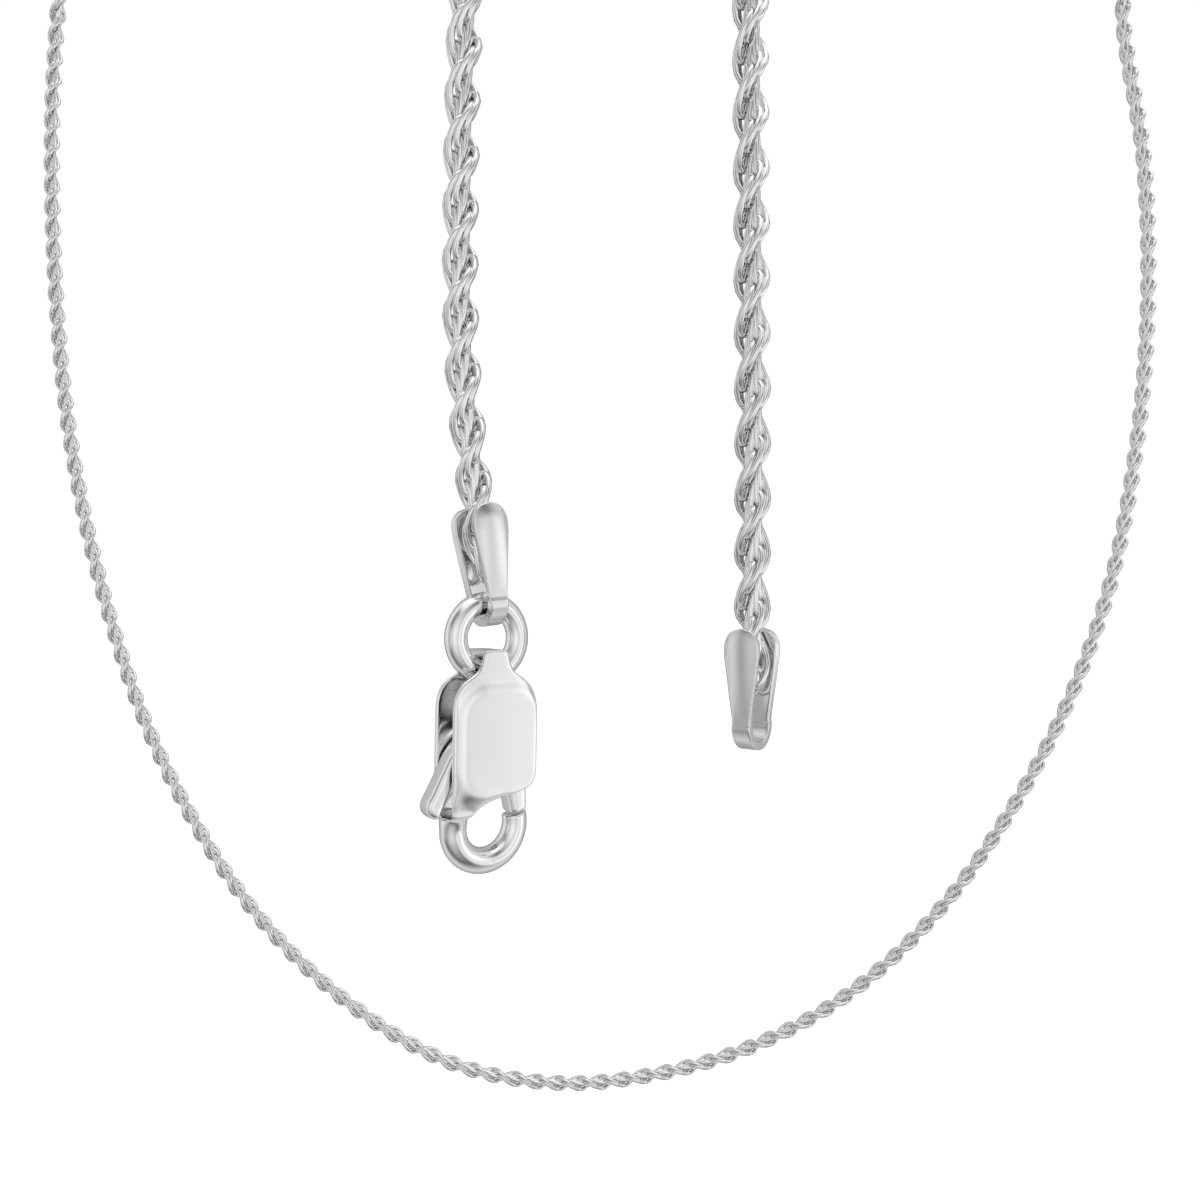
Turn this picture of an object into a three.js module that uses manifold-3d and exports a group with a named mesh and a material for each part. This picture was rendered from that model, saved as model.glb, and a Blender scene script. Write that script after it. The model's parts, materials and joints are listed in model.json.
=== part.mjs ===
// Rope chain necklace with a lobster clasp, hung over a neck with the clasp undone.
// Millimetres, +Z up. The origin is where the chain lies over the neck: midway between the two sides, midway
// from front to back, at the height of the chain's highest point. The clasp ends hang in front (-Y), the
// drape hangs behind (+Y).
import * as THREE from 'three';
import { mergeVertices } from 'three/addons/utils/BufferGeometryUtils.js';
import Module from 'manifold-3d';

const wasm = await Module();
wasm.setup();

// ---- driving dimensions ----
const CHAIN_D = 1.5;             // across both strands of the rope
const DRAPE_WIDTH = 126;         // widest part of the drape, between chain centres
const DRAPE_DROP = 124.5;        // from the first drape joint down to the lowest point
const NECK_DEPTH = 62;           // from the plane of the drape to the plane of the clasp ends
const ARCH_RISE = 5;             // from the first drape joint up to the top of the neck
const TAIL_TOP = 35;             // from the top of the neck down to the first joint of each tail
const CLASP_TAIL = 37.6;         // chain below that joint on the clasp side
const LOOP_TAIL = 43.2;          // and on the side the clasp hooks into
const TAIL_GAP = 12.6;           // between the two tails
const DRAPE_LEVELS = 10;         // joints down the drape
const TAIL_SEGMENTS = 5;         // joints down each tail
const JOINT_GAP = 0.5;           // between the ends of two chain segments

const TAB_SHEET = 0.38;          // strip that the end tabs are folded from
const TAB_WIDTH_TOP = 1.64;
const TAB_LENGTH = 5.5;
const TAB_GRIP = 2.9;            // length of chain between the tab's plates
const TAB_TURN = 36;             // degrees that each tab is turned about the chain

const RING_WIRE = 1.05;
const RING_OD = 4.2;

const CLASP_LENGTH = 10.2;
const CLASP_WIDTH = 4.2;
const CLASP_PLATE = 0.36;
const BRIDGE_THICK = 0.32;
const NECK_LENGTH = 0.95;        // bridge top to the plates' shoulders
const HOOK_STOCK = 1.24;
const CLASP_LEAN = 1;            // degrees to the side
const PIN_ABOVE_HOOK = 3.67;     // lever pin to the middle of the hook's bend
const PIN_OFFSET = 0.9;          // lever pin to the middle of the plates
const LEVER_PAD_PROUD = 0.95;    // thumb pad past the side of the plates
const PIN_D = 0.6;
const SOCKET_DEPTH = 0.2;        // of the pin in each plate
const SPRING_WIRE = 0.14;

// ---- clearances ----
const FIT = 0.04;                // round the pin
const CHAIN_IN_TAB = 0.05;       // on each side of the chain, between the tab's plates
const WIRE_IN_FOLD = 0.3;        // on each side of the ring's wire, inside the tab's fold
const FOLD_IN_RING = 1.2;        // the ring's hole is wider than the fold by this
const BRIDGE_IN_RING = 0.9;      // and wider than the clasp's bridge by this
const WIRE_IN_CLASP = 0.24;      // on each side of the ring's wire, between the clasp's plates
const LEVER_SIDE = 0.2;          // on each side of the lever, between the clasp's plates
const GATE_GAP = 0.08;           // gate to hook tip
const REST_GAP = 0.04;           // hanging ring to what it hangs in
const LEG_TO_RING = 0.4;         // spring leg to the ring above it

// ---- sizes that follow ----
const RING_HOLE = RING_OD - 2 * RING_WIRE;
const TAB_FOLD_R = Math.max(CHAIN_D / 2 + CHAIN_IN_TAB, RING_WIRE / 2 + WIRE_IN_FOLD);
const TAB_WIDTH_FOLD = RING_HOLE - FOLD_IN_RING;
const BRIDGE_WIDTH = RING_HOLE - BRIDGE_IN_RING;
const CLASP_THICK = RING_WIRE + 2 * WIRE_IN_CLASP + 2 * CLASP_PLATE;
const LEVER_THICK = CLASP_THICK - 2 * CLASP_PLATE - 2 * LEVER_SIDE;

const group = new THREE.Group();

function silver(color, roughness) {
  return new THREE.MeshStandardMaterial({ color, roughness, metalness: 1 });
}

const CHAIN_SILVER = silver(0xd9d9dc, 0.2);
const POLISHED_SILVER = silver(0xe4e4e6, 0.12);
const SPRING_STEEL = silver(0xb4b6ba, 0.3);

// Adds a named mesh whose own origin is the point that its body turns about.
function addMesh(name, geometry, material, position, rotation = new THREE.Euler()) {
  const mesh = new THREE.Mesh(geometry, material);
  mesh.name = name;
  mesh.position.copy(position);
  mesh.rotation.copy(rotation);
  group.add(mesh);
}

// ---- solids ----
function toManifold(geometry) {
  const bare = geometry.clone();
  bare.deleteAttribute('normal');
  bare.deleteAttribute('uv');
  const merged = mergeVertices(bare, 1e-5);
  const vertProperties = Float32Array.from(merged.attributes.position.array);
  const triVerts = Uint32Array.from(merged.index.array);
  return new wasm.Manifold(new wasm.Mesh({ numProp: 3, vertProperties, triVerts }));
}

function toGeometry(solid) {
  const mesh = solid.getMesh();
  const geometry = new THREE.BufferGeometry();
  geometry.setAttribute('position', new THREE.BufferAttribute(Float32Array.from(mesh.vertProperties), 3));
  geometry.setIndex(Array.from(mesh.triVerts));
  geometry.computeVertexNormals();
  return geometry;
}

// A closed outline in X and Z, made solid along Y from back to front.
function slab(shape, y0, y1, curveSegments = 6) {
  const geometry = new THREE.ExtrudeGeometry(shape, { depth: y1 - y0, bevelEnabled: false, curveSegments });
  geometry.rotateX(Math.PI / 2);
  geometry.translate(0, y1, 0);
  return toManifold(geometry);
}

// A cylinder along Y.
function rodY(radius, y0, y1, x, z, sides = 24) {
  const geometry = new THREE.CylinderGeometry(radius, radius, y1 - y0, sides);
  geometry.translate(x, (y0 + y1) / 2, z);
  return toManifold(geometry);
}

function boxSolid(x0, x1, y0, y1, z0, z1) {
  const geometry = new THREE.BoxGeometry(x1 - x0, y1 - y0, z1 - z0);
  geometry.translate((x0 + x1) / 2, (y0 + y1) / 2, (z0 + z1) / 2);
  return toManifold(geometry);
}

// ---- the chain's route, from the clasp end over the neck, round the drape and back ----
// The drape as fractions of its half width and of its drop.
const DRAPE_SHAPE = [
  [-0.987, 0], [-1, 0.12], [-0.992, 0.277], [-0.963, 0.416], [-0.903, 0.554], [-0.807, 0.693],
  [-0.647, 0.831], [-0.467, 0.923], [-0.274, 0.981], [-0.085, 1], [0.091, 0.993], [0.274, 0.967],
  [0.456, 0.917], [0.635, 0.831], [0.812, 0.693], [0.923, 0.554], [0.978, 0.416], [1, 0.277],
  [0.993, 0.15], [0.955, 0],
];
// The chain over the neck: across as a fraction of the half width, depth as a fraction of half the neck,
// height as a fraction of the rise above the first drape joint.
const ARCH_SHAPE = [[0.95, 0.91, 0.5], [0.79, 0.57, 0.92], [0.59, 0.13, 1], [0.38, -0.35, 0.5]];
// The last of the arch, as it closes on the tail: across and height in millimetres from the tail's first joint.
const ARCH_FOOT = [[7.4, -0.75, 21.5], [2.1, -0.95, 10]];

// How far each tail wanders to the side on its way down, in millimetres at equal steps.
const CLASP_TAIL_SWAY = [0.35, 0.25, 0, 0.05, 1.02];
const LOOP_TAIL_SWAY = [0.57, 0.55, 0.6, 0.65, 0.62];

const halfWidth = DRAPE_WIDTH / 2;
const halfDepth = NECK_DEPTH / 2;

function tailPoints(side, length, sway) {
  const x = side * TAIL_GAP / 2;
  return sway.map((move, i) =>
    new THREE.Vector3(x + move, -halfDepth, -TAIL_TOP - length * i / (sway.length - 1)));
}

function archPoints(side) {
  const upper = ARCH_SHAPE.map(([x, y, z]) =>
    new THREE.Vector3(side * x * halfWidth, y * halfDepth, ARCH_RISE * (z - 1)));
  const foot = ARCH_FOOT.map(([x, y, z]) =>
    new THREE.Vector3(side * (TAIL_GAP / 2 + x), y * halfDepth, z - TAIL_TOP));
  return [...upper, ...foot];
}

const drapePoints = DRAPE_SHAPE.map(([x, z]) =>
  new THREE.Vector3(x * halfWidth, halfDepth, -ARCH_RISE - z * DRAPE_DROP));
const routePoints = [
  ...tailPoints(-1, CLASP_TAIL, CLASP_TAIL_SWAY).reverse(),
  ...archPoints(-1).reverse(),
  ...drapePoints,
  ...archPoints(1),
  ...tailPoints(1, LOOP_TAIL, LOOP_TAIL_SWAY),
];
const route = new THREE.CatmullRomCurve3(routePoints, false, 'centripetal');
route.arcLengthDivisions = 1200;
const routeLength = route.getLength();

// Where along the route a height is passed, from 0 to 1, between two places on it.
function placeAtHeight(z, from, to) {
  let low = from;
  let high = to;
  const falling = route.getPointAt(from).z > route.getPointAt(to).z;
  for (let i = 0; i < 40; i += 1) {
    const middle = (low + high) / 2;
    const above = route.getPointAt(middle).z > z;
    if (above === falling) low = middle;
    else high = middle;
  }
  return (low + high) / 2;
}

// The place on the route that is nearest to one of its own points.
function placeOfPoint(point) {
  let best = 0;
  let bestDistance = Infinity;
  for (let i = 0; i <= 2400; i += 1) {
    const distance = route.getPointAt(i / 2400).distanceTo(point);
    if (distance < bestDistance) {
      bestDistance = distance;
      best = i / 2400;
    }
  }
  return best;
}

class RoutePart extends THREE.Curve {
  constructor(from, to, origin) {
    super();
    this.from = from;
    this.to = to;
    this.origin = origin;
  }

  getPoint(t, target = new THREE.Vector3()) {
    const place = this.from + (this.to - this.from) * t;
    return target.copy(route.getPointAt(Math.min(1, Math.max(0, place)))).sub(this.origin);
  }
}

const CHAIN_SIDES = 8;
const CHAIN_STEP = 3;

function chainSection() {
  const section = new THREE.Shape();
  for (let i = 0; i < CHAIN_SIDES; i += 1) {
    const angle = (i + 0.5) * 2 * Math.PI / CHAIN_SIDES;
    const x = CHAIN_D / 2 * Math.cos(angle);
    const y = CHAIN_D / 2 * Math.sin(angle);
    if (i === 0) section.moveTo(x, y);
    else section.lineTo(x, y);
  }
  section.closePath();
  return section;
}

// One chain segment between two places on the route; pivot is the place that its body turns about.
function addChain(name, from, to, pivot) {
  const gap = JOINT_GAP / 2 / routeLength;
  const start = Math.min(from, to) + (Math.min(from, to) > 0 ? gap : 0);
  const end = Math.max(from, to) - (Math.max(from, to) < 1 ? gap : 0);
  const origin = route.getPointAt(pivot);
  const path = new RoutePart(start, end, origin);
  const steps = Math.max(2, Math.ceil((end - start) * routeLength / CHAIN_STEP));
  const geometry = new THREE.ExtrudeGeometry(chainSection(), { steps, extrudePath: path, bevelEnabled: false });
  addMesh(name, geometry, CHAIN_SILVER, origin);
}

// ---- joints along the route ----
const lowest = placeOfPoint(drapePoints[9]);
const drapeTop = placeOfPoint(drapePoints[0]);
const drapeEnd = placeOfPoint(drapePoints[drapePoints.length - 1]);
const LEVEL_DROP = DRAPE_DROP * 0.93 / (DRAPE_LEVELS - 1);
const levelZ = Array.from({ length: DRAPE_LEVELS }, (_, i) => -ARCH_RISE - LEVEL_DROP * i);
const leftCuts = levelZ.map((z, i) => (i === 0 ? drapeTop : placeAtHeight(z, drapeTop, lowest)));
const rightCuts = levelZ.map((z, i) => (i === 0 ? drapeEnd : placeAtHeight(z, lowest, drapeEnd)));

for (let i = 0; i < DRAPE_LEVELS - 1; i += 1) {
  addChain(`drape_left_${i + 1}`, leftCuts[i], leftCuts[i + 1], leftCuts[i]);
  addChain(`drape_right_${i + 1}`, rightCuts[i], rightCuts[i + 1], rightCuts[i]);
}
const bottomLeft = leftCuts[DRAPE_LEVELS - 1];
const bottomRight = rightCuts[DRAPE_LEVELS - 1];
const bottomThird = (bottomRight - bottomLeft) / 3;
addChain('drape_bottom_left', bottomLeft, bottomLeft + bottomThird, bottomLeft);
addChain('drape_bottom', bottomLeft + bottomThird, bottomRight - bottomThird, bottomLeft + bottomThird);
addChain('drape_bottom_right', bottomRight - bottomThird, bottomRight, bottomRight);

const ARCH_PARTS = 3;

function addTail(name, archName, end, joint, drape, length) {
  const sign = Math.sign(joint - end);
  for (let i = 0; i < ARCH_PARTS; i += 1) {
    const from = drape + (joint - drape) * i / ARCH_PARTS;
    const to = drape + (joint - drape) * (i + 1) / ARCH_PARTS;
    addChain(`${archName}_${i + 1}`, from, to, from);
  }
  const segment = length / routeLength / TAIL_SEGMENTS;
  for (let i = 0; i < TAIL_SEGMENTS; i += 1) {
    const from = joint - sign * segment * i;
    const to = i === TAIL_SEGMENTS - 1 ? end : joint - sign * segment * (i + 1);
    addChain(`${name}_${i + 1}`, from, to, from);
  }
}

const claspJoint = placeAtHeight(-TAIL_TOP, 0, drapeTop * 0.7);
const loopJoint = placeAtHeight(-TAIL_TOP, 1 - (1 - drapeEnd) * 0.7, 1);
addTail('clasp_strand', 'arch_left', 0, claspJoint, drapeTop, claspJoint * routeLength);
addTail('loop_strand', 'arch_right', 1, loopJoint, drapeEnd, (1 - loopJoint) * routeLength);

// ---- end tabs: a strip folded in a U round the jump ring's wire, its plates on both sides of the chain ----
// In the tab's own axes: X across the strip, Y through the plates, Z up, the origin in the middle of the fold.
const tabTop = TAB_LENGTH - TAB_FOLD_R - TAB_SHEET;

function tabSolid() {
  const outer = TAB_FOLD_R + TAB_SHEET;
  const profile = new THREE.Shape();
  profile.moveTo(-outer, tabTop);
  profile.lineTo(-outer, 0);
  profile.absarc(0, 0, outer, Math.PI, 2 * Math.PI, false);
  profile.lineTo(outer, tabTop);
  profile.lineTo(TAB_FOLD_R, tabTop);
  profile.lineTo(TAB_FOLD_R, 0);
  profile.absarc(0, 0, TAB_FOLD_R, 2 * Math.PI, Math.PI, true);
  profile.lineTo(-TAB_FOLD_R, tabTop);
  profile.closePath();
  const strip = slab(profile, -TAB_WIDTH_TOP / 2, TAB_WIDTH_TOP / 2, 8).rotate([0, 0, 90]);
  const front = new THREE.Shape();
  const topR = TAB_WIDTH_TOP / 2;
  front.moveTo(-TAB_WIDTH_FOLD / 2, -outer - 1);
  front.lineTo(TAB_WIDTH_FOLD / 2, -outer - 1);
  front.lineTo(TAB_WIDTH_FOLD / 2, 0.3);
  front.lineTo(topR, tabTop - topR);
  front.absarc(0, tabTop - topR, topR, 0, Math.PI, false);
  front.lineTo(-TAB_WIDTH_FOLD / 2, 0.3);
  front.closePath();
  return strip.intersect(slab(front, -outer - 1, outer + 1, 8));
}

// How far the chain's end stands above the middle of the fold.
const CHAIN_END_HEIGHT = tabTop - TAB_GRIP;

function endFrame(place, turn) {
  const end = route.getPointAt(place);
  const tangent = route.getTangentAt(place);
  if (tangent.z > 0) tangent.negate();
  const up = tangent.clone().negate();
  const lean = Math.atan2(-up.x, up.z);
  const fold = end.clone().addScaledVector(tangent, CHAIN_END_HEIGHT);
  const turned = new THREE.Quaternion().setFromAxisAngle(new THREE.Vector3(0, 0, 1), THREE.MathUtils.degToRad(turn));
  const leaned = new THREE.Quaternion().setFromAxisAngle(new THREE.Vector3(0, 1, 0), -lean);
  return { fold, rotation: new THREE.Euler().setFromQuaternion(leaned.multiply(turned)) };
}

const claspEnd = endFrame(0, TAB_TURN);
const loopEnd = endFrame(1, -TAB_TURN);
addMesh('clasp_end_tab', toGeometry(tabSolid()), POLISHED_SILVER, claspEnd.fold, claspEnd.rotation);
addMesh('loop_end_tab', toGeometry(tabSolid()), POLISHED_SILVER, loopEnd.fold, loopEnd.rotation);

// ---- jump ring, hanging in the fold; it turns about its own wire there ----
const ringR = (RING_OD - RING_WIRE) / 2;

// A strip across the ring's hole meets the curved wire at the strip's edges, so its face stands this far from
// the middle of the wire.
function restOn(stripWidth) {
  return ringR - Math.sqrt((RING_HOLE / 2) ** 2 - (stripWidth / 2) ** 2) + REST_GAP;
}

const hangDrop = TAB_FOLD_R - restOn(TAB_WIDTH_FOLD);
const turnOnly = new THREE.Euler(0, 0, THREE.MathUtils.degToRad(TAB_TURN));
const ringPivot = claspEnd.fold.clone().add(new THREE.Vector3(0, 0, -hangDrop));
const ringGeometry = new THREE.TorusGeometry(ringR, RING_WIRE / 2, 12, 32);
ringGeometry.rotateX(Math.PI / 2);
ringGeometry.translate(0, 0, -ringR);
addMesh('jump_ring', ringGeometry, POLISHED_SILVER, ringPivot, turnOnly);

// ---- clasp, in its own axes: X across, Y through the plates, Z up, the origin on top of the bridge ----
const halfWide = CLASP_WIDTH / 2;
const halfThick = CLASP_THICK / 2;
const cavity = halfThick - CLASP_PLATE;
const hookR = halfWide - HOOK_STOCK / 2 + 0.1;
const hookZ = -CLASP_LENGTH + HOOK_STOCK / 2 + hookR;
const pivotX = PIN_OFFSET;
const pivotZ = hookZ + PIN_ABOVE_HOOK;
const plateFoot = hookZ + 1.4;                 // lower edge of the plates beside the gate
const gateReach = PIN_ABOVE_HOOK - 0.42;       // from the pin to the end of the gate

const shoulderZ = -NECK_LENGTH - 1.9;          // where the plates reach their full width

function plateOutline() {
  const neck = BRIDGE_WIDTH / 2;
  const shape = new THREE.Shape();
  shape.moveTo(neck, 0);
  shape.lineTo(neck + 0.12, -NECK_LENGTH);
  shape.bezierCurveTo(neck + 0.6, -NECK_LENGTH - 0.3, halfWide, -NECK_LENGTH - 0.9, halfWide, shoulderZ);
  shape.lineTo(halfWide, plateFoot + 1.2);
  shape.quadraticCurveTo(halfWide, plateFoot + 0.4, halfWide - 0.6, plateFoot + 0.25);
  shape.lineTo(0.65, plateFoot);
  shape.quadraticCurveTo(-0.7, hookZ + 1.2, -hookR + HOOK_STOCK / 2, hookZ);
  shape.lineTo(-hookR - HOOK_STOCK / 2, hookZ);
  shape.lineTo(-halfWide, hookZ + 1.6);
  shape.lineTo(-halfWide, shoulderZ);
  shape.bezierCurveTo(-halfWide, -NECK_LENGTH - 0.9, -neck - 0.6, -NECK_LENGTH - 0.3, -neck - 0.12, -NECK_LENGTH);
  shape.lineTo(-neck, 0);
  shape.closePath();
  return shape;
}

class HookPath extends THREE.Curve {
  getPoint(t, target = new THREE.Vector3()) {
    const angle = Math.PI + t * (Math.PI + 0.45);
    return target.set(hookR * Math.cos(angle), 0, hookZ + hookR * Math.sin(angle));
  }
}

function hookSolid() {
  const section = new THREE.Shape();
  section.absarc(0, 0, HOOK_STOCK / 2, 0, 2 * Math.PI, false);
  const geometry = new THREE.ExtrudeGeometry(section, {
    steps: 18, extrudePath: new HookPath(), bevelEnabled: false, curveSegments: 7,
  });
  const swept = rodY(gateReach + GATE_GAP, -halfThick, halfThick, pivotX, pivotZ, 64);
  return toManifold(geometry).subtract(swept);
}

function claspBody() {
  const plates = slab(plateOutline(), -halfThick, halfThick);
  const slotFoot = hookZ + 0.62;
  const slot = boxSolid(-halfWide - 1, halfWide + 1, -cavity, cavity, slotFoot, -BRIDGE_THICK);
  const socket = rodY(PIN_D / 2 + FIT, -cavity - SOCKET_DEPTH, cavity + SOCKET_DEPTH, pivotX, pivotZ);
  return plates.subtract(slot).subtract(socket).add(hookSolid());
}

function leverOutline() {
  const padX = -halfWide - LEVER_PAD_PROUD;
  const padZ = hookZ + 1.1;
  const tip = pivotZ - gateReach - 0.3;
  const shape = new THREE.Shape();
  shape.moveTo(pivotX + 0.8, pivotZ + 0.25);
  shape.quadraticCurveTo(pivotX + 1.0, pivotZ - 1, pivotX + 1.1, tip);
  shape.lineTo(pivotX + 0.35, tip);
  shape.lineTo(pivotX - 0.1, pivotZ - 1.5);
  shape.lineTo(pivotX - 1.4, pivotZ - 1.15);
  shape.quadraticCurveTo(-halfWide + 0.1, pivotZ - 1.9, -halfWide - 0.3, padZ - 0.4);
  shape.quadraticCurveTo(padX + 0.5, padZ - 0.65, padX + 0.1, padZ - 0.25);
  shape.quadraticCurveTo(padX - 0.12, padZ + 0.15, padX + 0.25, padZ + 0.6);
  shape.lineTo(-halfWide - 0.1, pivotZ - 0.8);
  shape.quadraticCurveTo(pivotX - 2.2, pivotZ + 1.15, pivotX - 0.4, pivotZ + 1.0);
  shape.quadraticCurveTo(pivotX + 0.7, pivotZ + 0.95, pivotX + 0.8, pivotZ + 0.25);
  return shape;
}

const springR = PIN_D / 2 + FIT + SPRING_WIRE;
const springDepth = 0.34;

function leverSolid() {
  const half = LEVER_THICK / 2;
  const reach = rodY(gateReach, -half, half, pivotX, pivotZ, 64);
  const arm = boxSolid(-2 * halfWide - 2, pivotX - 0.3, -half, half, -CLASP_LENGTH, 0);
  const bore = rodY(PIN_D / 2 + FIT, -half - 1, half + 1, pivotX, pivotZ);
  const recess = rodY(springR + 0.08, -half - 1, -half + springDepth, pivotX, pivotZ);
  return slab(leverOutline(), -half, half).intersect(reach.add(arm)).subtract(bore).subtract(recess);
}

const springLegTop = -BRIDGE_THICK - restOn(BRIDGE_WIDTH) - RING_WIRE / 2 - LEG_TO_RING;

function pinSolid() {
  return rodY(PIN_D / 2, -cavity - SOCKET_DEPTH + FIT, cavity + SOCKET_DEPTH - FIT, pivotX, pivotZ);
}

// The spring's coil round the pin, in the lever's recess, and its leg against the shoulder of the plates.
function springSolid() {
  const y0 = -cavity + FIT;
  const y1 = -LEVER_THICK / 2 + springDepth - 0.1;
  const coil = rodY(springR, y0, y1, pivotX, pivotZ).subtract(
    rodY(PIN_D / 2 + FIT, y0 - 1, y1 + 1, pivotX, pivotZ));
  const leg = boxSolid(pivotX + springR - SPRING_WIRE, pivotX + springR, y0, y0 + SPRING_WIRE - 0.03,
    pivotZ, springLegTop);
  return coil.add(leg);
}

// The clasp hangs from the bottom of the ring, and swings to the side about the ring's middle.
const ringMiddle = ringPivot.clone().add(new THREE.Vector3(0, 0, -ringR));
const bridgeRise = restOn(BRIDGE_WIDTH) + BRIDGE_THICK;

function claspPiece(solid) {
  const geometry = toGeometry(solid.translate([0, 0, -ringR + bridgeRise]));
  geometry.rotateY(THREE.MathUtils.degToRad(CLASP_LEAN));
  return geometry;
}

function leanedOffset(x, z) {
  const offset = new THREE.Vector3(x, 0, z - ringR + bridgeRise);
  offset.applyAxisAngle(new THREE.Vector3(0, 1, 0), THREE.MathUtils.degToRad(CLASP_LEAN));
  return offset;
}

const leverOffset = leanedOffset(pivotX, pivotZ);
const leverPivot = ringMiddle.clone().add(leverOffset.clone().applyEuler(turnOnly));
const leverGeometry = claspPiece(leverSolid());
leverGeometry.translate(-leverOffset.x, -leverOffset.y, -leverOffset.z);
addMesh('clasp_body', claspPiece(claspBody()), POLISHED_SILVER, ringMiddle, turnOnly);
addMesh('clasp_pin', claspPiece(pinSolid()), POLISHED_SILVER, ringMiddle, turnOnly);
addMesh('clasp_spring', claspPiece(springSolid()), SPRING_STEEL, ringMiddle, turnOnly);
addMesh('clasp_lever', leverGeometry, POLISHED_SILVER, leverPivot, turnOnly);

export default group;
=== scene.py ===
"""Rope chain necklace with a lobster clasp, hung over a neck with the clasp undone."""

import json
import math

import bmesh
import bpy
import numpy as np
from mathutils import Matrix, Vector
from mathutils.kdtree import KDTree


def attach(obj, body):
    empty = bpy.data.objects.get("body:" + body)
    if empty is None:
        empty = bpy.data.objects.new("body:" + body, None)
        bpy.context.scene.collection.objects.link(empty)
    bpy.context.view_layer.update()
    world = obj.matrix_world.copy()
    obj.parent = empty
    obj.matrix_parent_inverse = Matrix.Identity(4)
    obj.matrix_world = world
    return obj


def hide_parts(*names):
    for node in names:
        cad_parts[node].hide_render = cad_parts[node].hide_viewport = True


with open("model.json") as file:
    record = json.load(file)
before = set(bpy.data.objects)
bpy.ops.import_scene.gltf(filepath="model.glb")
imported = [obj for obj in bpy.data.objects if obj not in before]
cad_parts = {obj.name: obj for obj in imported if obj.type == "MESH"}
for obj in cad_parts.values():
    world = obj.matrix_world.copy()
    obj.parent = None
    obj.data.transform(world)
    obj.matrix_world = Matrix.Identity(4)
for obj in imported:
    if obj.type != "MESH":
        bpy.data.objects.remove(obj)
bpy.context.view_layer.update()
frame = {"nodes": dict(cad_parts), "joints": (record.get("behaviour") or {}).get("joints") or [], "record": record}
MM = 0.001

# ---- sizes shared with the CAD model, in millimetres ----
DRAPE_WIDTH = 126
DRAPE_DROP = 124.5
NECK_DEPTH = 62
ARCH_RISE = 5
TAIL_TOP = 35
CLASP_TAIL = 37.6
LOOP_TAIL = 43.2
TAIL_GAP = 12.6
CLASP_TAIL_SWAY = (0.35, 0.25, 0, 0.05, 1.02)
LOOP_TAIL_SWAY = (0.57, 0.55, 0.6, 0.65, 0.62)
TAB_GRIP = 2.9

TAB_SHEET = 0.38
TAB_CROWN = 0.12
TAB_WIDTH_TOP = 1.64
TAB_WIDTH_FOLD = 0.9
TAB_FOLD_R = 0.825
TAB_LENGTH = 5.5
TAB_TOP = TAB_LENGTH - TAB_FOLD_R - TAB_SHEET
TAB_TURN = 36

RING_WIRE = 1.05
RING_OD = 4.2
RING_R = (RING_OD - RING_WIRE) / 2
RING_HOLE_R = RING_R - RING_WIRE / 2

CLASP_LEAN = 1
BRIDGE_THICK = 0.32
HALF_WIDE = 2.1
HALF_THICK = 1.125
CAVITY = 0.765
NECK_HALF = 0.6
FIT = 0.04
BRIDGE_RISE = RING_R - math.sqrt(RING_HOLE_R ** 2 - NECK_HALF ** 2) + FIT + BRIDGE_THICK
NECK_LENGTH = 0.95
HOOK_R = 1.58
HOOK_Z = -8.0
HOOK_STOCK = 1.24
PIN_X, PIN_Z = 0.9, HOOK_Z + 3.67
PIN_BORE_R = 0.34
CAVITY_FOOT = HOOK_Z + 0.62
PLATE_BEVEL = 0.08
LEVER_BEVEL = 0.2
GATE_REACH = 3.25
GATE_GAP = 0.08
LEVER_HALF_THICK = 0.55
PLATE_FOOT = HOOK_Z + 1.4
SHOULDER_Z = -NECK_LENGTH - 1.9
PAD_X = 0.27
PAD_Z = -4.25
PAD_WIDE = 3.45
PAD_TALL = 4.5
PAD_R = 1.1
PAD_SLOPE = 0.75
PAD_PROUD = 0.12

# ---- how finely each piece is cast, in millimetres, and how far its edges are worn, in passes ----
TAB_VOXEL, TAB_WEAR = 0.04, 8
CLASP_VOXEL, CLASP_WEAR = 0.05, 4
CLASP_PAD_WEAR, CLASP_FLOW_WEAR = 12, 90
LEVER_VOXEL, LEVER_WEAR = 0.045, 60

# ---- studio: places in metres, lens and sensor in millimetres ----
FLOOR_SIZE = 40
FLOOR_Z = -0.26
CAMERA_PLACE = (0, -0.0716, -0.074)
CAMERA_LENS = 26.77
SENSOR_WIDTH = 36
CLIP_START = 0.002


# ---- shader arithmetic ----
class Field:
    """A shader value that Python arithmetic works on."""

    def __init__(self, shader, socket):
        self.shader = shader
        self.socket = socket

    def math(self, operation, first, second=0.0):
        return self.shader.add("ShaderNodeMath", {"operation": operation}, {0: first, 1: second})

    def __add__(self, other):
        return self.math("ADD", self, other)

    def __sub__(self, other):
        return self.math("SUBTRACT", self, other)

    def __rsub__(self, other):
        return self.math("SUBTRACT", other, self)

    def __mul__(self, other):
        return self.math("MULTIPLY", self, other)

    __radd__ = __add__
    __rmul__ = __mul__


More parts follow.
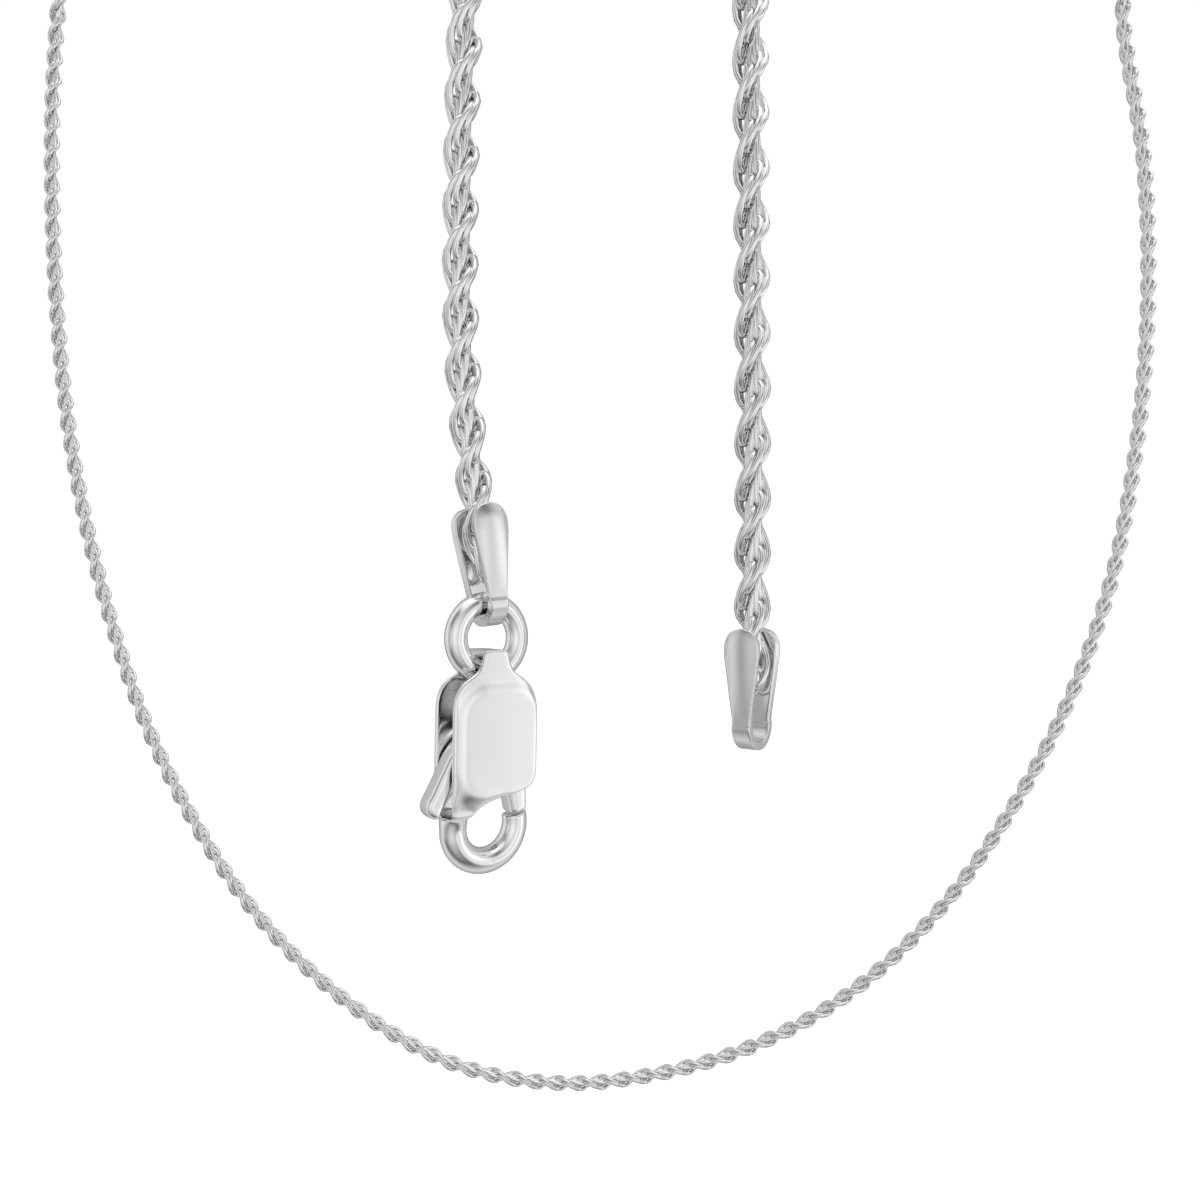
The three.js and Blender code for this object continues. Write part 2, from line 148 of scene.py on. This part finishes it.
class Shader:
    """The nodes of one material or of the world."""

    def __init__(self, tree):
        self.tree = tree
        tree.nodes.clear()

    def add(self, kind, settings=None, inputs=None, output=0):
        node = self.tree.nodes.new(kind)
        for key, value in (settings or {}).items():
            if key == "stops":
                ramp = node.color_ramp
                while len(ramp.elements) < len(value):
                    ramp.elements.new(0.5)
                for element, (position, tone) in zip(ramp.elements, value):
                    element.position = position
                    element.color = (tone, tone, tone, 1) if isinstance(tone, (int, float)) else tone
            else:
                setattr(node, key, value)
        for key, value in (inputs or {}).items():
            if isinstance(value, Field):
                self.tree.links.new(value.socket, node.inputs[key])
            else:
                node.inputs[key].default_value = value
        return Field(self, node.outputs[output]) if len(node.outputs) else None


def silver(name, color, roughness, wear, grain):
    """Polished silver: a soft tone in the metal, fine wear in the polish and hairline scratches."""
    material = bpy.data.materials.new(name)
    material.use_nodes = True
    shader = Shader(material.node_tree)
    place = shader.add("ShaderNodeTexCoord", output="Object")
    cloud = shader.add("ShaderNodeTexNoise", None, {"Vector": place, "Scale": 420.0, "Detail": 3.0})
    fine = shader.add("ShaderNodeTexNoise", None, {"Vector": place, "Scale": grain, "Detail": 4.0})
    stretched = shader.add("ShaderNodeMapping", None, {"Vector": place, "Rotation": (0.4, 0.7, 0.2),
                                                       "Scale": (900.0, 14000.0, 14000.0)})
    hairline = shader.add("ShaderNodeTexNoise", None, {"Vector": stretched, "Scale": 1.0, "Detail": 2.0})
    darker = tuple(c * 0.93 for c in color)
    tone = shader.add("ShaderNodeMix", {"data_type": "RGBA"},
                      {0: cloud, 6: (*darker, 1), 7: (*color, 1)}, output=2)
    polish = fine * wear + cloud * (wear * 0.6) + (roughness - wear * 0.8)
    relief = hairline * 0.6 + fine * 0.4
    normal = shader.add("ShaderNodeBump", None, {"Strength": 0.05, "Distance": 0.00001, "Height": relief})
    surface = shader.add("ShaderNodeBsdfPrincipled", None,
                         {"Base Color": tone, "Metallic": 1.0, "Roughness": polish, "Normal": normal})
    shader.add("ShaderNodeOutputMaterial", None, {"Surface": surface})
    return material


CHAIN_SILVER = silver("chain_silver", (0.93, 0.93, 0.933), 0.1, 0.04, 9000.0)
POLISHED_SILVER = silver("polished_silver", (0.95, 0.95, 0.955), 0.13, 0.05, 5000.0)
# The end tabs are the same polished silver; this darker copy's lower base colour is painted shade, for the greyer
# look the tabs take under this light.
SHADED_TAB_SILVER = silver("shaded_tab_silver", (0.84, 0.84, 0.845), 0.17, 0.06, 5000.0)
SPRING_STEEL = silver("spring_steel", (0.62, 0.63, 0.65), 0.28, 0.08, 12000.0)

# ---- the chain's route, in millimetres ----
DRAPE_SHAPE = [
    (-0.987, 0), (-1, 0.12), (-0.992, 0.277), (-0.963, 0.416), (-0.903, 0.554), (-0.807, 0.693),
    (-0.647, 0.831), (-0.467, 0.923), (-0.274, 0.981), (-0.085, 1), (0.091, 0.993), (0.274, 0.967),
    (0.456, 0.917), (0.635, 0.831), (0.812, 0.693), (0.923, 0.554), (0.978, 0.416), (1, 0.277),
    (0.993, 0.15), (0.955, 0),
]
ARCH_SHAPE = [(0.95, 0.91, 0.5), (0.79, 0.57, 0.92), (0.59, 0.13, 1), (0.38, -0.35, 0.5)]
ARCH_FOOT = [(7.4, -0.75, 21.5), (2.1, -0.95, 10)]
HALF_WIDTH = DRAPE_WIDTH / 2
HALF_DEPTH = NECK_DEPTH / 2


def tail_points(side, length, sway):
    x = side * TAIL_GAP / 2
    return [(x + move, -HALF_DEPTH, -TAIL_TOP - length * i / 4) for i, move in enumerate(sway)]


def arch_points(side):
    upper = [(side * x * HALF_WIDTH, y * HALF_DEPTH, ARCH_RISE * (z - 1)) for x, y, z in ARCH_SHAPE]
    foot = [(side * (TAIL_GAP / 2 + x), y * HALF_DEPTH, z - TAIL_TOP) for x, y, z in ARCH_FOOT]
    return upper + foot


drape_points = [(x * HALF_WIDTH, HALF_DEPTH, -ARCH_RISE - z * DRAPE_DROP) for x, z in DRAPE_SHAPE]
route_points = [
    *reversed(tail_points(-1, CLASP_TAIL, CLASP_TAIL_SWAY)),
    *reversed(arch_points(-1)),
    *drape_points,
    *arch_points(1),
    *tail_points(1, LOOP_TAIL, LOOP_TAIL_SWAY),
]


def curve_through(points, per_span):
    """Points along a centripetal Catmull-Rom curve."""
    points = [Vector(p) for p in points]
    points = [2 * points[0] - points[1], *points, 2 * points[-1] - points[-2]]
    found = []
    for p0, p1, p2, p3 in zip(points, points[1:], points[2:], points[3:]):
        d0 = math.sqrt((p1 - p0).length)
        d1 = math.sqrt((p2 - p1).length)
        d2 = math.sqrt((p3 - p2).length)
        m1 = ((p1 - p0) / d0 - (p2 - p0) / (d0 + d1) + (p2 - p1) / d1) * d1
        m2 = ((p2 - p1) / d1 - (p3 - p1) / (d1 + d2) + (p3 - p2) / d2) * d1
        for i in range(per_span):
            t = i / per_span
            found.append(p1 + m1 * t + (3 * (p2 - p1) - 2 * m1 - m2) * t * t
                         + (2 * (p1 - p2) + m1 + m2) * t ** 3)
    found.append(points[-2])
    return found


class Route:
    """A place and an unturned frame at each length along the chain, in millimetres."""

    def __init__(self, points):
        self.points = curve_through(points, 60)
        self.lengths = [0.0]
        for a, b in zip(self.points, self.points[1:]):
            self.lengths.append(self.lengths[-1] + (b - a).length)
        self.total = self.lengths[-1]
        side = Vector((1, 0, 0))
        self.sides = []
        self.tangents = []
        last = len(self.points) - 1
        for i in range(len(self.points)):
            along = (self.points[min(i + 1, last)] - self.points[max(i - 1, 0)]).normalized()
            side = (side - along * side.dot(along)).normalized()
            self.tangents.append(along)
            self.sides.append(side)
        self.step = 0

    def at(self, length):
        while self.step < len(self.lengths) - 2 and self.lengths[self.step + 1] < length:
            self.step += 1
        while self.step > 0 and self.lengths[self.step] > length:
            self.step -= 1
        i = self.step
        t = (length - self.lengths[i]) / (self.lengths[i + 1] - self.lengths[i])
        along = self.tangents[i].lerp(self.tangents[i + 1], t).normalized()
        side = self.sides[i].lerp(self.sides[i + 1], t)
        side = (side - along * side.dot(along)).normalized()
        return self.points[i].lerp(self.points[i + 1], t), along, side


route = Route(route_points)


# ---- modelling helpers ----
def deselect():
    if bpy.context.mode != "OBJECT":
        bpy.ops.object.mode_set(mode="OBJECT")
    bpy.ops.object.select_all(action="DESELECT")


def activate(piece):
    deselect()
    piece.select_set(True)
    bpy.context.view_layer.objects.active = piece


def modify(piece, kind, **settings):
    activate(piece)
    modifier = piece.modifiers.new(kind.lower(), kind)
    for key, value in settings.items():
        setattr(modifier, key, value)
    bpy.ops.object.modifier_apply(modifier=modifier.name)


def clean_normals(piece):
    activate(piece)
    bpy.ops.object.mode_set(mode="EDIT")
    bpy.ops.mesh.select_all(action="SELECT")
    bpy.ops.mesh.remove_doubles(threshold=0.0001)
    bpy.ops.mesh.normals_make_consistent(inside=False)
    bpy.ops.object.mode_set(mode="OBJECT")


def join(first, *others):
    deselect()
    for piece in (first, *others):
        piece.select_set(True)
    bpy.context.view_layer.objects.active = first
    bpy.ops.object.join()
    return first


def cut(piece, cutter, operation="DIFFERENCE"):
    modify(piece, "BOOLEAN", object=cutter, operation=operation, solver="EXACT")
    bpy.data.objects.remove(cutter)


def slab(name, outline, y0, y1, axis="Y"):
    """A closed outline made solid along one axis, in millimetres."""
    deselect()
    bpy.ops.mesh.primitive_circle_add(vertices=len(outline), fill_type="NGON", radius=1)
    piece = bpy.context.object
    piece.name = name
    for vertex, (a, z) in zip(piece.data.vertices, outline):
        vertex.co = (a, y0, z) if axis == "Y" else (y0, a, z)
    bpy.ops.object.mode_set(mode="EDIT")
    bpy.ops.mesh.select_all(action="SELECT")
    move = (0, y1 - y0, 0) if axis == "Y" else (y1 - y0, 0, 0)
    bpy.ops.mesh.extrude_region_move(TRANSFORM_OT_translate={"value": move})
    bpy.ops.object.mode_set(mode="OBJECT")
    clean_normals(piece)
    return piece


def rod(name, radius, y0, y1, x, z, sides=48):
    deselect()
    bpy.ops.mesh.primitive_cylinder_add(vertices=sides, radius=radius, depth=y1 - y0,
                                        location=(x, (y0 + y1) / 2, z), rotation=(math.pi / 2, 0, 0))
    piece = bpy.context.object
    piece.name = name
    bpy.ops.object.transform_apply(location=True, rotation=True, scale=True)
    return piece


def block(name, x0, x1, y0, y1, z0, z1):
    deselect()
    bpy.ops.mesh.primitive_cube_add(size=1, location=((x0 + x1) / 2, (y0 + y1) / 2, (z0 + z1) / 2))
    piece = bpy.context.object
    piece.name = name
    piece.scale = (x1 - x0, y1 - y0, z1 - z0)
    bpy.ops.object.transform_apply(location=True, rotation=True, scale=True)
    return piece


def bar(name, stations, sides=24):
    """A round bar through stations of (x, y, z, radius across the bend, radius along Y)."""
    mesh = bpy.data.meshes.new(name)
    body = bmesh.new()
    rows = []
    for i, (x, y, z, across, deep) in enumerate(stations):
        before = Vector(stations[max(0, i - 1)][:3])
        after = Vector(stations[min(len(stations) - 1, i + 1)][:3])
        along = (after - before).normalized()
        out = along.cross(Vector((0, 1, 0))).normalized()
        row = []
        for k in range(sides):
            turn = 2 * math.pi * k / sides
            spot = Vector((x, y, z)) + out * (across * math.cos(turn))
            row.append(body.verts.new(spot + Vector((0, deep * math.sin(turn), 0))))
        rows.append(row)
    for a, b in zip(rows, rows[1:]):
        for k in range(sides):
            body.faces.new((a[k], a[(k + 1) % sides], b[(k + 1) % sides], b[k]))
    body.faces.new(rows[0][::-1])
    body.faces.new(rows[-1])
    body.to_mesh(mesh)
    body.free()
    piece = bpy.data.objects.new(name, mesh)
    bpy.context.scene.collection.objects.link(piece)
    clean_normals(piece)
    return piece


def wear(piece, passes, **settings):
    modify(piece, "SMOOTH", factor=0.5, iterations=passes, **settings)


def round_edges(piece, width, segments):
    modify(piece, "BEVEL", width=width, segments=segments, limit_method="ANGLE",
           angle_limit=math.radians(60))


def cast(piece, voxel, smoothing):
    """Fuses a piece's overlapping solids into one skin with worn, rounded edges."""
    modify(piece, "REMESH", mode="VOXEL", voxel_size=voxel, use_smooth_shade=True)
    wear(piece, smoothing)


def place(piece, name, matrix, body, slot, material, replaced=()):
    """Puts a piece modelled in millimetres where it goes, in metres."""
    piece.data.transform(Matrix.Scale(MM, 4) @ matrix)
    piece.name = name
    piece.data.name = name
    piece.data.materials.clear()
    piece.data.materials.append(material)
    for polygon in piece.data.polygons:
        polygon.use_smooth = True
    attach(piece, body)
    if replaced:
        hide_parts(*replaced)


def bezier(p0, p1, p2, p3, count):
    """Points on a cubic curve, its first point left out."""
    found = []
    for i in range(1, count + 1):
        t = i / count
        s = 1 - t
        weights = (s ** 3, 3 * s * s * t, 3 * s * t * t, t ** 3)
        found.append(tuple(sum(w * p[k] for w, p in zip(weights, (p0, p1, p2, p3))) for k in range(2)))
    return found


def quadratic(p0, p1, p2, count):
    a = tuple(p0[k] + 2 / 3 * (p1[k] - p0[k]) for k in range(2))
    b = tuple(p2[k] + 2 / 3 * (p1[k] - p2[k]) for k in range(2))
    return bezier(p0, a, b, p2, count)


# ---- rope chain: long links that lie over each other along a double twist, in millimetres and radians ----
HALF_TWIST = 2.49
LINK_LONG = 1.05
LINK_SHORT = 0.37
LINK_WIRE = 0.165
LINK_STEP = HALF_TWIST / 7
LINK_OFFSET = 0.355
LINK_ROLL = -0.7
LINK_LEAN = 0.1
LINK_WRAP = 0.5
TWIST_START = 1.84


def rope_link():
    """One long link, leaning and wound round the middle of the rope, which is its own Z axis."""
    deselect()
    bpy.ops.mesh.primitive_torus_add(major_segments=16, minor_segments=5, major_radius=LINK_SHORT,
                                     minor_radius=LINK_WIRE)
    link = bpy.context.object
    for vertex in link.data.vertices:
        x, y, z = vertex.co
        angle = math.atan2(y, x)
        outward = Vector((LINK_SHORT * math.cos(angle), LINK_LONG * math.sin(angle), 0)).normalized()
        middle = Vector((LINK_LONG * math.cos(angle), LINK_SHORT * math.sin(angle), z))
        vertex.co = middle + outward * (math.hypot(x, y) - LINK_SHORT)
    bpy.ops.object.shade_smooth()
    upright = Matrix.Rotation(-math.pi / 2, 4, "Y")
    roll = Matrix.Rotation(LINK_ROLL - math.pi / 2, 4, "Z")
    lean = Matrix.Rotation(math.atan(LINK_LEAN / LINK_LONG), 4, "Y")
    link.data.transform(Matrix.Translation((LINK_OFFSET, 0, 0)) @ lean @ roll @ upright)
    modify(link, "SIMPLE_DEFORM", deform_method="TWIST", deform_axis="Z",
           angle=LINK_WRAP * math.pi * 2 * (LINK_LONG + LINK_WIRE) / HALF_TWIST)
    return link


def link_matrix(length, turn):
    centre, along, side = route.at(length)
    around = along.cross(side)
    radial = side * math.cos(turn) + around * math.sin(turn)
    columns = (radial, along.cross(radial), along, centre)
    return Matrix([[c[k] for c in columns] for k in range(3)] + [[0, 0, 0, 1]])


def nearest_node(nodes):
    """A search tree of the CAD nodes' corners, which finds the node that a link belongs to."""
    corners = [(v.co, i) for i, n in enumerate(nodes) for v in frame["nodes"][n].data.vertices]
    tree = KDTree(len(corners))
    for co, i in corners:
        tree.insert(co, i)
    tree.balance()
    return tree


def share_links():
    """The place of every link, in a list for each chain node."""
    nodes = [n for n in frame["nodes"] if n.startswith(("arch_", "drape_", "clasp_strand_", "loop_strand_"))]
    tree = nearest_node(nodes)
    links_of = {n: [] for n in nodes}
    for i in range(int((route.total - LINK_LONG) / LINK_STEP)):
        length = 0.5 * LINK_LONG + i * LINK_STEP
        turn = TWIST_START + math.pi * (i + length / HALF_TWIST)
        chosen = tree.find(route.at(length)[0] * MM)[1]
        links_of[nodes[chosen]].append(link_matrix(length, turn))
    return links_of


def strand_of_links(name, model, matrices):
    strand = bmesh.new()
    for matrix in matrices:
        copy = model.data.copy()
        copy.transform(matrix)
        strand.from_mesh(copy)
        bpy.data.meshes.remove(copy)
    mesh = bpy.data.meshes.new(name)
    strand.to_mesh(mesh)
    strand.free()
    piece = bpy.data.objects.new(name, mesh)
    bpy.context.scene.collection.objects.link(piece)
    return piece


model_link = rope_link()
body_of = {n: b for b, members in frame["record"]["behaviour"]["bodies"].items() for n in members}
for node, matrices in share_links().items():
    piece = strand_of_links(node + "_links", model_link, matrices)
    place(piece, node + "_links", Matrix.Identity(4), body_of[node], "chain_silver", CHAIN_SILVER, [node])
bpy.data.objects.remove(model_link)


# ---- end tabs ----
def tab_place(length, turn):
    end, along, _ = route.at(length)
    if along.z > 0:
        along = -along
    fold = end + along * (TAB_TOP - TAB_GRIP)
    lean = math.atan2(along.x, -along.z)
    return (Matrix.Translation(fold) @ Matrix.Rotation(-lean, 4, "Y")
            @ Matrix.Rotation(math.radians(turn), 4, "Z"))


def end_tab():
    """A strip folded round in a U: a fine sheet of faces, bent and then given its thickness."""
    middle = TAB_FOLD_R + TAB_SHEET / 2
    arc = math.pi * middle
    straight = TAB_TOP
    rows, columns = 96, 10
    deselect()
    bpy.ops.mesh.primitive_grid_add(x_subdivisions=columns, y_subdivisions=rows, size=2)
    piece = bpy.context.object
    for vertex in piece.data.vertices:
        across, along = vertex.co.x, vertex.co.y
        run = abs(along) * (arc / 2 + straight)
        height = run - arc / 2
        widen = min(1, max(0, (height - 0.2) / (straight - 1.4)))
        half = (TAB_WIDTH_FOLD + (TAB_WIDTH_TOP - TAB_WIDTH_FOLD) * widen) / 2
        top = straight - height
        full = half
        if top < full:
            half = math.sqrt(max(0.0, full * full - (full - top) ** 2))
        if run < arc / 2:
            angle = run / middle
            depth = middle * math.sin(angle)
            rise = -middle * math.cos(angle)
        else:
            bulge = widen * (1 - across * across) * (half / full) ** 2 - 0.5
            depth = middle + TAB_CROWN * bulge
            rise = height
        vertex.co = (across * half, math.copysign(depth, along) if along else 0.0, rise)
    clean_normals(piece)
    modify(piece, "SOLIDIFY", thickness=TAB_SHEET, offset=0)
    clean_normals(piece)
    return piece


for name, node, length, turn, body in (
    ("clasp_tab", "clasp_end_tab", 0.0, TAB_TURN, "clasp_strand_link_5"),
    ("loop_tab", "loop_end_tab", route.total, -TAB_TURN, "loop_strand_link_5"),
):
    tab = end_tab()
    cast(tab, TAB_VOXEL, TAB_WEAR)
    # The tabs get the darker copy of polished silver, whose lower base colour is painted shade.
    place(tab, name + "_plate", tab_place(length, turn), body, "polished_silver", SHADED_TAB_SILVER, [node])

# ---- jump ring ----
clasp_pivot = next(j for j in frame["joints"] if j["name"] == "clasp_sway")["pos_m"]
clasp_middle = Vector(clasp_pivot) / MM
turned = Matrix.Rotation(math.radians(TAB_TURN), 4, "Z")


def jump_ring():
    deselect()
    bpy.ops.mesh.primitive_torus_add(major_segments=96, minor_segments=28, major_radius=RING_R,
                                     minor_radius=RING_WIRE / 2, rotation=(math.pi / 2, 0, 0))
    bpy.ops.object.transform_apply(location=True, rotation=True, scale=True)
    return bpy.context.object


place(jump_ring(), "jump_ring_wire", Matrix.Translation(clasp_middle) @ turned, "jump_ring",
      "polished_silver", POLISHED_SILVER, ["jump_ring"])

# ---- clasp ----
clasp_place = (Matrix.Translation(clasp_middle) @ turned
               @ Matrix.Rotation(math.radians(CLASP_LEAN), 4, "Y")
               @ Matrix.Translation((0, 0, -RING_R + BRIDGE_RISE)))


def plate_outline():
    neck = NECK_HALF
    points = [(neck - 0.12, 0.0), (neck, -0.12)]
    points += bezier(points[-1], (neck + 0.1, -0.65), (neck + 0.2, -0.95), (neck + 0.62, -1.18), 10)
    points += bezier(points[-1], (neck + 1.05, -1.42), (HALF_WIDE, -1.72), (HALF_WIDE, SHOULDER_Z), 12)
    points += [(HALF_WIDE, PLATE_FOOT + 1.2)]
    points += quadratic(points[-1], (HALF_WIDE, PLATE_FOOT + 0.4), (HALF_WIDE - 0.6, PLATE_FOOT + 0.25), 6)
    points += [(0.65, PLATE_FOOT)]
    points += quadratic(points[-1], (-0.7, HOOK_Z + 1.25), (-HOOK_R + HOOK_STOCK / 2 + 0.02, HOOK_Z + 0.6), 8)
    points += [(-HOOK_R - HOOK_STOCK / 2 + 0.05, HOOK_Z + 0.6), (-HALF_WIDE, HOOK_Z + 1.6)]
    points += [(-HALF_WIDE, SHOULDER_Z)]
    points += bezier(points[-1], (-HALF_WIDE, -1.72), (-neck - 1.05, -1.42), (-neck - 0.62, -1.18), 12)
    points += bezier(points[-1], (-neck - 0.2, -0.95), (-neck - 0.1, -0.65), (-neck, -0.12), 10)
    points += [(-neck + 0.12, 0.0)]
    return points


def hook_bar():
    stations = [(-HOOK_R, 0, HOOK_Z + 0.5, HOOK_STOCK / 2, HOOK_STOCK / 2 + 0.08)]
    for i in range(29):
        angle = math.pi + i / 28 * (math.pi + 0.45)
        thin = 1 - 0.06 * i / 28
        stations.append((HOOK_R * math.cos(angle), 0, HOOK_Z + HOOK_R * math.sin(angle),
                         HOOK_STOCK / 2 * thin, HOOK_STOCK / 2 * thin))
    return bar("hook", stations)


def shank_bar():
    """The hook's root, which widens into both plates."""
    return bar("shank", [
        (-HOOK_R + 0.1, 0, HOOK_Z + 2.3, 0.5, 1.0),
        (-HOOK_R + 0.06, 0, HOOK_Z + 1.6, 0.58, 1.02),
        (-HOOK_R + 0.02, 0, HOOK_Z + 1.0, 0.62, 0.9),
        (-HOOK_R, 0, HOOK_Z + 0.5, 0.63, 0.75),
        (-HOOK_R, 0, HOOK_Z, HOOK_STOCK / 2, HOOK_STOCK / 2),
    ])


def raise_pads(piece):
    """Sinks the outer faces of the plates around a soft-edged pad."""
    co = np.array([vertex.co for vertex in piece.data.vertices])
    corner = np.abs(co[:, [0, 2]] - (PAD_X, PAD_Z)) - (PAD_WIDE / 2 - PAD_R, PAD_TALL / 2 - PAD_R)
    outside = np.linalg.norm(np.maximum(corner, 0), axis=1) + np.minimum(corner.max(axis=1), 0) - PAD_R
    share = np.clip(outside / PAD_SLOPE, 0, 1)
    outer = np.clip((np.abs(co[:, 1]) - CAVITY - 0.12) / 0.1, 0, 1)
    co[:, 1] -= np.sign(co[:, 1]) * PAD_PROUD * share * share * (3 - 2 * share) * outer
    for vertex, spot in zip(piece.data.vertices, co):
        vertex.co = spot


def melt_shank(piece):
    """Softens the root of the hook, so that the plates run into it."""
    flow = piece.vertex_groups.new(name="flow")
    for vertex in piece.data.vertices:
        x, _, z = vertex.co
        share = min(1, (HOOK_Z + 2.7 - z) / 0.7, (z - HOOK_Z + 0.5) / 0.5, (0.9 - x) / 0.5)
        if share > 0:
            flow.add([vertex.index], share, "REPLACE")
    wear(piece, CLASP_FLOW_WEAR, vertex_group="flow")


def cavity():
    """The space between the plates, from the bridge down to the shank."""
    return block("gap", -4, 4, -CAVITY, CAVITY, CAVITY_FOOT, -BRIDGE_THICK)


def clasp_body():
    plates = slab("clasp", plate_outline(), -HALF_THICK, HALF_THICK)
    round_edges(plates, PLATE_BEVEL, 2)
    top = HOOK_Z + 2.0
    flank = [(HALF_THICK + 0.1, 1), (HALF_THICK + 0.1, top), (HALF_THICK, top)]
    flank += quadratic(flank[-1], (HALF_THICK, HOOK_Z + 0.9), (HOOK_STOCK / 2, HOOK_Z - 0.1), 10)
    flank += [(HOOK_STOCK / 2, HOOK_Z - 1)]
    flank += [(-y, z) for y, z in reversed(flank)]
    cut(plates, slab("flank", flank, -4, 4, axis="X"), "INTERSECT")
    cut(plates, cavity())
    shank = shank_bar()
    cut(shank, cavity())
    hook = hook_bar()
    cut(hook, rod("sweep", GATE_REACH + GATE_GAP, -2, 2, PIN_X, PIN_Z, 96))
    join(plates, hook, shank)
    cast(plates, CLASP_VOXEL, CLASP_WEAR)
    raise_pads(plates)
    wear(plates, CLASP_PAD_WEAR)
    melt_shank(plates)
    return plates


def lever_outline():
    pad_x = -HALF_WIDE - 0.95
    pad_z = HOOK_Z + 1.1
    tip = PIN_Z - GATE_REACH - 0.3
    points = [(PIN_X + 0.8, PIN_Z + 0.25)]
    points += quadratic(points[-1], (PIN_X + 1.0, PIN_Z - 1), (PIN_X + 1.1, tip), 8)
    points += [(PIN_X + 0.35, tip), (PIN_X - 0.1, PIN_Z - 1.5), (PIN_X - 1.4, PIN_Z - 1.15)]
    points += quadratic(points[-1], (-HALF_WIDE + 0.1, PIN_Z - 1.9), (-HALF_WIDE - 0.3, pad_z - 0.4), 8)
    points += quadratic(points[-1], (pad_x + 0.5, pad_z - 0.65), (pad_x + 0.1, pad_z - 0.25), 8)
    points += quadratic(points[-1], (pad_x - 0.12, pad_z + 0.15), (pad_x + 0.25, pad_z + 0.6), 8)
    points += [(-HALF_WIDE - 0.1, PIN_Z - 0.8)]
    points += quadratic(points[-1], (PIN_X - 2.2, PIN_Z + 1.15), (PIN_X - 0.4, PIN_Z + 1.0), 8)
    points += quadratic(points[-1], (PIN_X + 0.7, PIN_Z + 0.95), (PIN_X + 0.8, PIN_Z + 0.25), 8)[:-1]
    return points


def clasp_lever():
    half = LEVER_HALF_THICK
    beyond = half + 0.5
    lever = slab("lever", lever_outline(), -half, half)
    round_edges(lever, LEVER_BEVEL, 3)
    reach = rod("reach", GATE_REACH, -beyond, beyond, PIN_X, PIN_Z, 96)
    arm = block("arm", -6, PIN_X - 0.3, -beyond, beyond, -11, 0)
    cut(reach, arm, "UNION")
    cut(lever, reach, "INTERSECT")
    cut(lever, rod("bore", PIN_BORE_R, -2, 2, PIN_X, PIN_Z, 32))
    cast(lever, LEVER_VOXEL, LEVER_WEAR)
    return lever


place(clasp_body(), "clasp_plates_and_hook", clasp_place, "clasp", "polished_silver",
      POLISHED_SILVER, ["clasp_body"])
place(clasp_lever(), "clasp_gate", clasp_place, "clasp_lever", "polished_silver",
      POLISHED_SILVER, ["clasp_lever"])

for node, material in (("clasp_pin", POLISHED_SILVER), ("clasp_spring", SPRING_STEEL)):
    mesh = frame["nodes"][node].data
    mesh.materials.clear()
    mesh.materials.append(material)


# ---- studio ----
def studio_floor():
    deselect()
    bpy.ops.mesh.primitive_plane_add(size=FLOOR_SIZE, location=(0, 0, FLOOR_Z))
    floor = bpy.context.object
    floor.name = "floor"
    bpy.ops.object.transform_apply(location=True, rotation=True, scale=True)
    material = bpy.data.materials.new("pale_floor")
    material.use_nodes = True
    shader = Shader(material.node_tree)
    spot = shader.add("ShaderNodeTexCoord", output="Object")
    mottle = shader.add("ShaderNodeTexNoise", None, {"Vector": spot, "Scale": 8.0})
    tone = shader.add("ShaderNodeMix", {"data_type": "RGBA"},
                      {0: mottle, 6: (0.96, 0.96, 0.96, 1), 7: (0.98, 0.98, 0.98, 1)}, output=2)
    surface = shader.add("ShaderNodeBsdfPrincipled", None, {
        "Base Color": tone, "Roughness": 0.9, "Emission Color": tone, "Emission Strength": 0.5})
    shader.add("ShaderNodeOutputMaterial", None, {"Surface": surface})
    floor.data.materials.append(material)
    floor.visible_glossy = False
    floor.visible_diffuse = False


def studio_light():
    world = bpy.data.worlds.new("studio")
    bpy.context.scene.world = world
    world.use_nodes = True
    shader = Shader(world.node_tree)
    way = shader.add("ShaderNodeTexCoord", output="Generated")

    def towards(direction):
        return shader.add("ShaderNodeVectorMath", {"operation": "DOT_PRODUCT"},
                          {0: way, 1: Vector(direction).normalized()}, output="Value")

    def card(direction, inner, outer, tone):
        near = shader.add("ShaderNodeMapRange", {"interpolation_type": "SMOOTHSTEP"},
                          {0: towards(direction), 1: math.cos(math.radians(outer)),
                           2: math.cos(math.radians(inner)), 3: 0.0, 4: 1.0})
        return near * tone

    front = towards((0, -1, 0)) * -0.5 + 0.5
    room = shader.add("ShaderNodeValToRGB", {"stops": [
        (0.0, 0.95), (0.05, 0.7), (0.14, 0.42), (0.26, 0.14),
        (0.38, 0.55), (0.52, 0.85), (0.7, 0.55), (1.0, 0.32),
    ]}, {0: front})
    level = room * (towards((0, 0, 1)) * 0.15 + 1.0)
    level = level + card((0.88, -0.46, -0.1), 16, 34, 0.6) + card((-0.86, -0.5, 0.0), 14, 30, 0.25)
    level = level + card((0.1, -0.3, 1.0), 15, 35, 0.7)
    seen = shader.add("ShaderNodeLightPath", output="Is Camera Ray")
    light = shader.add("ShaderNodeBackground", None, {"Color": level, "Strength": 1.0})
    backdrop = shader.add("ShaderNodeBackground", None, {"Color": (1, 1, 1, 1), "Strength": 1.0})
    mixed = shader.add("ShaderNodeMixShader", None, {0: seen, 1: light, 2: backdrop})
    shader.add("ShaderNodeOutputWorld", None, {"Surface": mixed})


def studio_camera():
    data = bpy.data.cameras.new("studio_camera")
    data.sensor_width = SENSOR_WIDTH
    data.lens = CAMERA_LENS
    data.clip_start = CLIP_START
    camera = bpy.data.objects.new("studio_camera", data)
    bpy.context.scene.collection.objects.link(camera)
    camera.location = CAMERA_PLACE
    camera.rotation_euler = (math.pi / 2, 0, 0)
    bpy.context.scene.camera = camera


studio_floor()
studio_light()
studio_camera()
bpy.context.scene.view_settings.view_transform = "Standard"
